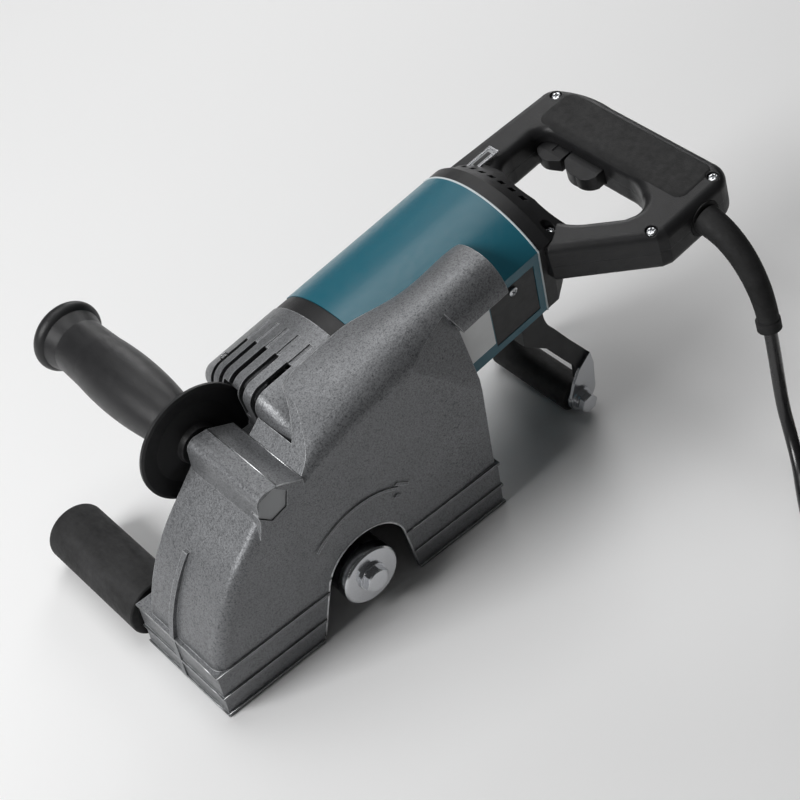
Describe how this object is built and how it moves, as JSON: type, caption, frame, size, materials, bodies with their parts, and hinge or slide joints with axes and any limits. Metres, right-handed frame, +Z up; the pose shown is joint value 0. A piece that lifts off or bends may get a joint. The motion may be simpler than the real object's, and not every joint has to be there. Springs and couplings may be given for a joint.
{
  "type": "wall chaser",
  "caption": "Hand-held wall chaser: cast blade cover with dust duct, geared motor, D-shaped rear handle, side handle, guide rollers and a mains cord.",
  "frame": {"origin": "bottom centre of the machine without its cord, on the surface that it stands on", "axes": "+Z up, +X to the rear handle, +Y from the blade side to the side handle"},
  "size_m": [0.4927, 0.5432, 0.2084],
  "materials": {
    "cast_grey": "hammertone paint",
    "teal_plastic": "satin gloss",
    "black_plastic": "fine moulded grain",
    "black_rubber": "matt",
    "cord_black": "smooth PVC sheath",
    "zinc": "bright zinc plate",
    "steel": "ground steel",
    "case_hardened": "oiled gear steel",
    "copper": "enamelled copper",
    "carbon": "pressed carbon",
    "brass": "plain brass",
    "alloy": "as cast",
    "label_white": "blank printed film",
    "plug_grey": "moulded plastic"
  },
  "bodies": {
    "root": {"wheel_cover": "cast_grey", "boss_plug": "plug_grey", "gear_housing": "cast_grey", "motor_housing": "teal_plastic", "baffle_ring": "black_plastic", "side_panel": "black_plastic", "blank_label": "label_white", "stator_core": "steel", "stator_coils": "copper", "motor_bearings": "steel", "bearing_bracket": "black_plastic", "brush_holders": "brass", "brushes": "carbon", "brush_springs": "steel", "shaft_bearings": "steel", "spindle_bearings": "steel", "gear_case_lid": "alloy", "gear_case_screws": "zinc", "side_grip": "black_rubber", "side_guard": "black_plastic", "side_handle_bolt": "zinc", "front_roller_axle": "zinc", "front_roller_clip": "zinc", "roller_side_plates": "zinc", "rear_roller_bolt": "zinc", "rear_roller_hardware": "zinc", "rear_bracket": "black_plastic", "handle_upper": "black_plastic", "handle_lower": "black_plastic", "case_screws": "zinc", "trigger_spring": "steel", "lock_spring": "steel", "switch_body": "black_plastic", "handle_badge": "plug_grey", "cord_guard": "black_rubber", "power_cord": "cord_black", "cord_coil": "cord_black", "cord_tail": "cord_black", "power_plug": "black_plastic"},
    "armature": {"armature_shaft": "steel", "armature_core": "steel", "commutator": "copper", "cooling_fan": "black_plastic", "bevel_pinion": "case_hardened"},
    "counter": {"countershaft": "case_hardened", "bevel_gear": "case_hardened"},
    "idler": {"idler_gear": "case_hardened", "idler_shaft": "steel"},
    "blade_spindle": {"spindle": "steel", "spindle_gear": "case_hardened", "inner_flange": "zinc", "blade_spacers": "steel", "outer_flange": "zinc", "flange_bolt": "zinc"},
    "front_roller": {"front_roller_tread": "black_rubber", "front_roller_core": "black_plastic"},
    "rear_roller": {"rear_roller_tread": "black_rubber", "rear_roller_core": "black_plastic"},
    "trigger": {"trigger": "black_plastic"},
    "lock_off": {"lock_off_button": "black_plastic"}
  },
  "joints": [
    {"name": "armature_spin", "type": "hinge", "parent": "root", "child": "armature", "pos_m": [0.02334, -0.0265, 0.14143], "axis": [0.9903, 0, 0.1392], "continuous": true},
    {"name": "countershaft_spin", "type": "hinge", "parent": "root", "child": "counter", "pos_m": [-0.07029, -0.0115, 0.12827], "axis": [0, 1, 0], "continuous": true},
    {"name": "idler_spin", "type": "hinge", "parent": "root", "child": "idler", "pos_m": [-0.08332, -0.0015, 0.08364], "axis": [0, 1, 0], "continuous": true},
    {"name": "spindle_spin", "type": "hinge", "parent": "root", "child": "blade_spindle", "pos_m": [-0.09635, -0.0465, 0.039], "axis": [0, 1, 0], "continuous": true},
    {"name": "front_roller_spin", "type": "hinge", "parent": "root", "child": "front_roller", "pos_m": [-0.20705, 0.0485, 0.0225], "axis": [0, 1, 0], "continuous": true},
    {"name": "rear_roller_spin", "type": "hinge", "parent": "root", "child": "rear_roller", "pos_m": [0.12765, -0.0315, 0.0135], "axis": [0, 1, 0], "continuous": true},
    {"name": "trigger_press", "type": "slide", "parent": "root", "child": "trigger", "axis": [0.9903, 0, 0.1392], "range_m": [0, 0.007], "stiffness_N_per_m": 900, "springref_m": -0.004},
    {"name": "lock_off_press", "type": "slide", "parent": "root", "child": "lock_off", "axis": [0.9903, 0, 0.1392], "range_m": [0, 0.005], "stiffness_N_per_m": 600, "springref_m": -0.004}
  ],
  "couplings": [
    {"joint": "countershaft_spin", "follows": "armature_spin", "ratio": -0.33333},
    {"joint": "spindle_spin", "follows": "armature_spin", "ratio": -0.33333},
    {"joint": "idler_spin", "follows": "armature_spin", "ratio": 0.15873}
  ]
}
